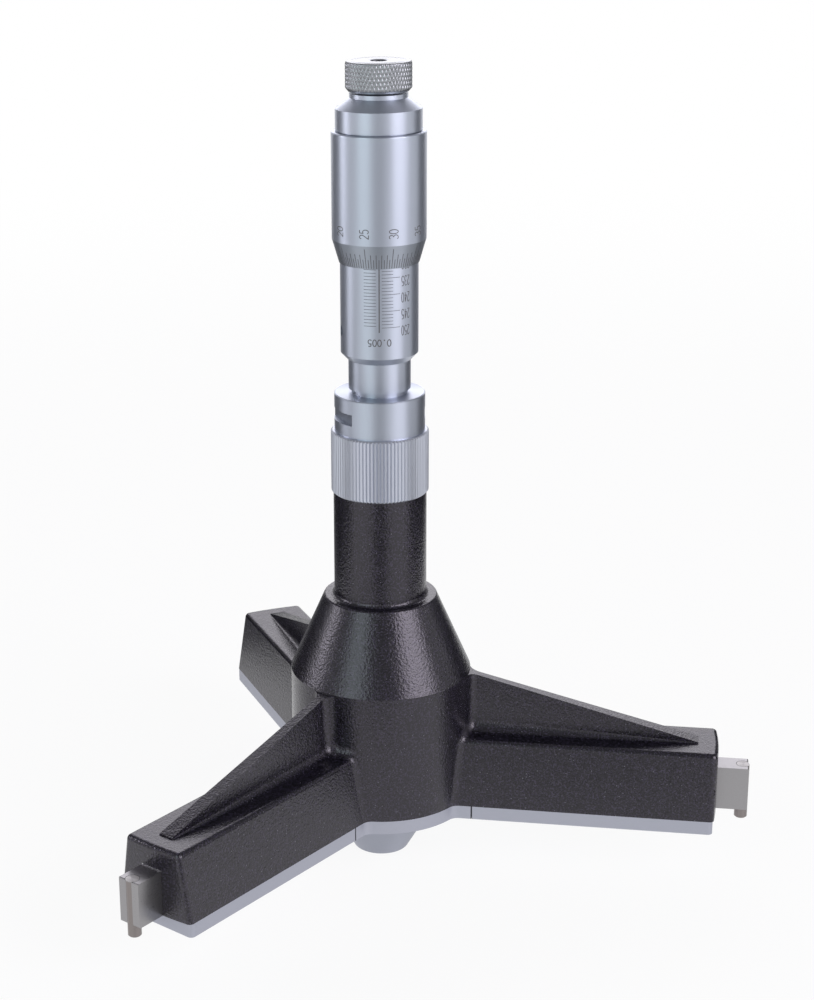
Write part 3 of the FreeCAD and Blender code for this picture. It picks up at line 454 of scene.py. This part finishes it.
def bow(x, y, wide, high, first, last, count=15):
    """Part of an ellipse, from one angle to another in degrees, as points (x, y)."""
    angle = np.radians(np.linspace(first, last, count))
    return np.stack((x + wide * np.cos(angle), y + high * np.sin(angle)), axis=1)


def stroke(*points, step=0.12):
    """Straight runs through these points, with a point about every step."""
    points = np.array(points, float)
    runs = [np.linspace(a, b, max(2, int(np.hypot(*(b - a)) / step) + 1))
            for a, b in zip(points, points[1:])]
    return np.concatenate([runs[0]] + [run[1:] for run in runs[1:]])


# The engraver's numerals, one unit high and one wide
numerals = {
    "0": [bow(0.5, 0.5, 0.5, 0.5, 90, 450, 25)],
    "1": [stroke((0.2, 0.8), (0.55, 1), (0.55, 0))],
    "2": [np.concatenate((
        bow(0.5, 0.72, 0.46, 0.28, 165, -30), stroke((0.78, 0.5), (0, 0), (1, 0))))],
    "3": [bow(0.46, 0.76, 0.44, 0.24, 150, -90), bow(0.46, 0.26, 0.52, 0.26, 90, -150)],
    "4": [stroke((0.72, 0), (0.72, 1), (0, 0.3), (1, 0.3))],
    "5": [np.concatenate((
        stroke((0.9, 1), (0.2, 1), (0.12, 0.56)), bow(0.46, 0.32, 0.5, 0.32, 120, -150)))],
    ".": [bow(0.5, 0.06, 0.08, 0.04, 0, 360, 9)],
}


def written(text, middle, wide, high, turned_by, gap):
    """The strokes of a number, centred on a point: each numeral this wide and high, with this share
    of its width between them, and the whole turned by quarter turns."""
    step = wide * (1 + gap)
    length = step * len(text) - wide * gap
    turn = np.linalg.matrix_power(np.array([[0, -1], [1, 0]]), turned_by)
    strokes = []
    for place, numeral in enumerate(text):
        for path in numerals[numeral]:
            flat = path * (wide, high) + (place * step - length / 2, -high / 2)
            strokes.append(flat @ turn.T + middle)
    return strokes


sleeve_radius, index_turn, index_foot, index_top = 11.75, -82.4, 173.9, 202.0
smallest_bore, largest_bore, largest_mark = 225, 250, 175.37
number_turn, number_lift = 41.6, -1.3
graduation_shift, graduation_height = 0.05, 170.75
# Marks for whole sizes, then for half ones: where they begin, and the ends of a short and of a long
# one, in degrees round the sleeve from the index
mark_turns = [[3.8, 20.6, 31.4], [-4.7, -22.7, -22.7]]
grey_paint = Finish("grey_paint", Roughness=0.6)
grey_paint.feed(Base_Color=grey_paint.mix(
    grey_paint.noise(900), (0.07, 0.07, 0.075, 1), (0.13, 0.13, 0.14, 1)))


def sleeve(z):
    """The sleeve's radius, the same at every height."""
    return sleeve_radius + 0 * z


index_arc = math.radians(index_turn) * sleeve_radius
mark_arcs = np.radians(mark_turns) * sleeve_radius
marks = []
for half in range(2 * (largest_bore - smallest_bore) + 1):
    at = largest_mark + largest_bore - smallest_bore - half / 2
    first, short, long = mark_arcs[half % 2]
    last = long if half % 10 == 0 else short
    marks.append(stroke((index_arc + first, at), (index_arc + last, at), step=0.8))
numbers = []
for size in range(smallest_bore, largest_bore + 1, 5):
    middle = (index_arc + math.radians(number_turn) * sleeve_radius,
              largest_mark + largest_bore + number_lift - size)
    numbers += written(str(size), middle, wide=0.78, high=2.9, turned_by=2, gap=0.42)
index_path = stroke((index_arc, index_foot), (index_arc, index_top), step=6)
graduation_strokes = written("0.005", (index_arc + graduation_shift, graduation_height),
                             wide=1.08, high=2.0, turned_by=2, gap=0.35)
sleeve_marks = engraving("sleeve_marks", marks, sleeve, grey_paint, width=0.16)
index_line = engraving("index_line", [index_path], sleeve, grey_paint, width=0.36)
sleeve_numbers = engraving("sleeve_numbers", numbers, sleeve, grey_paint, width=0.24)
graduation = engraving("graduation", graduation_strokes, sleeve, grey_paint, width=0.31)
for piece in (sleeve_marks, index_line, sleeve_numbers, graduation):
    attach(piece, "fixed_body")

# Thimble's scale: engraved and painted as the sleeve's is. A hundred lines round its bevel, two for
# each unit, the fives longest, and every fifth unit written above so that it reads upwards.
thimble_foot, bevel_radii = 193.095, (12.0, 14.1)
zero_turn, units_round = -280.4, 50
fifth_line, unit_line, half_line, line_start, number_height = 6.2, 4.4, 2.9, 0.15, 203.75


def bevel(z):
    """The thimble's radius: straight up the bevel from its small end, then constant. At 0 it is the
    nominal one, over which arcs become angles."""
    share = np.clip((z - thimble_foot) / (bevel_top - thimble_foot), 0, 1)
    return np.where(z == 0, bevel_radii[1], bevel_radii[0] + share * (bevel_radii[1] - bevel_radii[0]))


def unit_arc(unit):
    """How far round the thimble a unit's line stands, as an arc over its nominal radius."""
    return math.radians(zero_turn + unit * 360 / units_round) * bevel_radii[1]


lines, units = [], []
for half in range(2 * units_round):
    length = fifth_line if half % 10 == 0 else unit_line if half % 2 == 0 else half_line
    arc = unit_arc(half / 2)
    lines.append(stroke((arc, thimble_foot + line_start), (arc, thimble_foot + length), step=4))
for unit in range(0, units_round, 5):
    middle = (unit_arc(unit), number_height)
    units += written(str(unit), middle, wide=1.2, high=2.75, turned_by=1, gap=0.3)
thimble_lines = engraving("thimble_lines", lines, bevel, grey_paint, width=0.23)
thimble_numbers = engraving("thimble_numbers", units, bevel, grey_paint, width=0.26)
for piece in (thimble_lines, thimble_numbers):
    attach(piece, "thimble_group")

# Knob of the friction drive: steel, turned, and rolled with a sharp diamond knurl between two bevels.
# Its flank is painted darker than its faced top, and the screw's recess darker still, as painted shade.
# Its profile starts as the knurled flank, kept inside the bevels, and goes on over the top with its
# fine turned groove, down the recess and the screw's bore, and outwards again below.
knob_radius, knob_foot, knob_top = 9.8, 243.395, 252.095
diamonds, diamond_height, knurl_depth, knurl_start, flat_share = 52, 2.43, 0.32, 0.2, 0.25
diamond_columns, flank_rows = 8, 33
bore_radius, bore_top, spigot_radius, spigot_foot = 1.6, 250.595, 6.2, 242.895
faced_radius, recess_radius = 9.3 * MM, 2.5 * MM
bound_z = [knob_foot, knob_foot + 1.1, knob_top - 0.45, knob_top]
bound_r = [8.9, knob_radius, knob_radius, 9.35]
inner_profile = np.array((
    (9.2, knob_top), (8.3, knob_top), (8.2, 251.98), (8.1, knob_top), (2.6, knob_top), (2.45, 251.95),
    (2.45, bore_top), (bore_radius, bore_top), (bore_radius, spigot_foot),
    (spigot_radius, spigot_foot), (spigot_radius, knob_foot), (8.8, knob_foot)))


def knurl(turn, height):
    """How far the rolled grooves are cut in, from 0 to 1, with turn and height counted in diamonds.
    The distance to the nearer of two crossing families of lines, one rising to the left and one to
    the right, makes a pyramid with a small flat."""
    first = np.abs((turn + height + 0.5) % 1 - 0.5)
    second = np.abs((turn - height + 0.5) % 1 - 0.5)
    share = 1 - flat_share
    return 1 - np.minimum(np.minimum(first, second) * 2, share) / share


knurl_turn = np.arange(diamonds * diamond_columns) / diamond_columns
knurl_z = np.linspace(knob_foot, knob_top, flank_rows)
knurl_height = (knurl_z - knob_foot - knurl_start) / diamond_height
cut = knurl_depth * knurl(knurl_turn[None, :], knurl_height[:, None])
flank_r = np.minimum(knob_radius - cut, np.interp(knurl_z, bound_z, bound_r)[:, None])
inside_r = np.repeat(inner_profile[:, :1], len(knurl_turn), axis=1)
profile_r = np.concatenate((flank_r, inside_r))
profile_z = np.concatenate((knurl_z, inner_profile[:, 1]))[:, None] + 0 * profile_r
around = knurl_turn / diamonds * 2 * np.pi
knob_points = np.stack((profile_r * np.cos(around), profile_r * np.sin(around), profile_z), axis=-1) * MM
knob_steel = Finish("knob_steel", Metallic=1.0)
x, y, z = knob_steel.spots()
flank = x * x + y * y > faced_radius ** 2
recess = x * x + y * y < recess_radius ** 2
# Painted shade: the knurled flank and the screw's recess get darker colours than the top
top_with_shaded_flank = knob_steel.mix(flank, (0.44, 0.455, 0.48, 1), (0.28, 0.29, 0.31, 1))
knob_steel.feed(
    Base_Color=knob_steel.mix(recess, top_with_shaded_flank, (0.1, 0.1, 0.11, 1)),
    Roughness=0.26 + knob_steel.noise(2500, 3.0) * 0.14)
dress(knob_steel, "ratchet_knob")
knurled_knob = grid_piece("knurled_knob", knob_points, knob_steel, closed_u=True, closed_v=True)
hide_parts("ratchet_knob")
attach(knurled_knob, "knob_group")

# Drive screw: steel in the knob's recess, painted near black as the shade deep in the recess. It holds
# the friction drive's knob, spring and washer together.
recess_shade_steel = turned_metal("recess_shade_steel", (0.07, 0.07, 0.075), 0.35, 4000, 0.003 * MM)
dress(recess_shade_steel, "drive_screw")

# Jaws: blades of hardened steel, ground along their length, with a fine joint round the pressed-in
# pin. The screws, the posts and the moving parts inside are bright steel of the same kind.
pin_place, joint_radius, joint_half, joint_foot = 114.14 * MM, 2.06 * MM, 0.12 * MM, 35.6 * MM
ground_steel = Finish("ground_steel", Metallic=1.0)
scratch = ground_steel.noise((300, 300, 12000), 3.0, 0.6)
x, y, z = ground_steel.spots()
outwards = along_arm(x, y)
from_pin = ((outwards - pin_place) ** 2 + (x * x + y * y - outwards * outwards)) ** 0.5
joint = (abs(from_pin - joint_radius) < joint_half) * (z > joint_foot)
ground_steel.feed(
    Base_Color=ground_steel.mix(joint, (0.32, 0.313, 0.322, 1), (0.05, 0.05, 0.05, 1)),
    Roughness=0.24 + scratch * 0.1,
    Normal=ground_steel.bump(scratch, 0.4, 0.003 * MM))
dress(ground_steel, "jaw_1", "jaw_2", "jaw_3", "cover_screws", "spring_posts", "measuring_cone",
      "guide_key", "push_rod", "inner_sleeve", "adjusting_nut", "spindle", "drive_washer")

# Contact pins: hard metal, pressed into the jaws and ground to a dome, browner where it shows below
# the jaw. The push ball is of the same metal.
hard_metal = turned_metal("hard_metal", (0.33, 0.32, 0.32), 0.25, 6000, 0.002 * MM,
                          (35.5 * MM, (0.25, 0.225, 0.22)))
dress(hard_metal, "contact_pin_1", "contact_pin_2", "contact_pin_3", "push_ball")

# Guide bush: bronze, bored to size and pressed into the hub, where the measuring cone's stem slides
# in it
bearing_bronze = turned_metal("bearing_bronze", (0.55, 0.36, 0.15), 0.3, 4000, 0.003 * MM)
dress(bearing_bronze, "guide_bush")

# Return springs: music wire wound cold, with a closed turn at each end. Each lies in the groove below
# its jaw, between the groove's inner end and the post in the cover. It shortens as the jaw slides out,
# but here it is built at one length.
coil_radius, wire_radius, coil_height, coil_turns = 1.8, 0.35, 23.88, 8
coil_start, coil_end, jaw_travel, coil_room = 50.0, 73.5, 8.867, 0.05
turn_steps, wire_sides = 24, 10
closed_rise, whole_rise = 0.72, 22.7
spring_wire = Finish("spring_wire", Metallic=1.0, Base_Color=(0.35, 0.35, 0.37, 1))
drawn = spring_wire.noise(4000)
spring_wire.feed(Roughness=0.26 + drawn * 0.12, Normal=spring_wire.bump(drawn, 0.3, 0.004 * MM))
dress(spring_wire, "return_spring_1", "return_spring_2", "return_spring_3", "drive_spring")


def coiled(turn, around):
    """A wire wound along X. Its centre goes round the coil's circle and moves on evenly, but only by
    the closed rise in the first turn and in the last. The wire's own circle lies in the plane of the
    coil's radius and X."""
    rise = np.interp(turn, [0, 1, coil_turns - 1, coil_turns],
                     [0, closed_rise, whole_rise - closed_rise, whole_rise])
    middle = coil_start + wire_radius + rise / whole_rise * (coil_end - coil_start - 2 * wire_radius)
    reach = coil_radius + wire_radius * np.cos(around)
    angle = 2 * np.pi * turn
    along = middle - wire_radius * np.sin(around)
    return along, reach * np.cos(angle), coil_height + reach * np.sin(angle)


wire_turn, wire_around = np.meshgrid(
    np.arange(coil_turns * turn_steps + 1) / turn_steps,
    np.arange(wire_sides) / wire_sides * 2 * np.pi, indexing="ij")
along, across, high = coiled(wire_turn, wire_around)
for number in (1, 2, 3):
    turned_by = math.radians(120 * (number - 1))
    way = np.array([math.cos(turned_by), math.sin(turned_by), 0])
    wire_points = np.stack((
        along * way[0] - across * way[1], along * way[1] + across * way[0], high), axis=-1) * MM
    coil = grid_piece(f"coil_{number}", wire_points, spring_wire, closed_v=True, capped=True)
    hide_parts(f"return_spring_{number}")
    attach(coil, "fixed_body")
    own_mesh(coil)
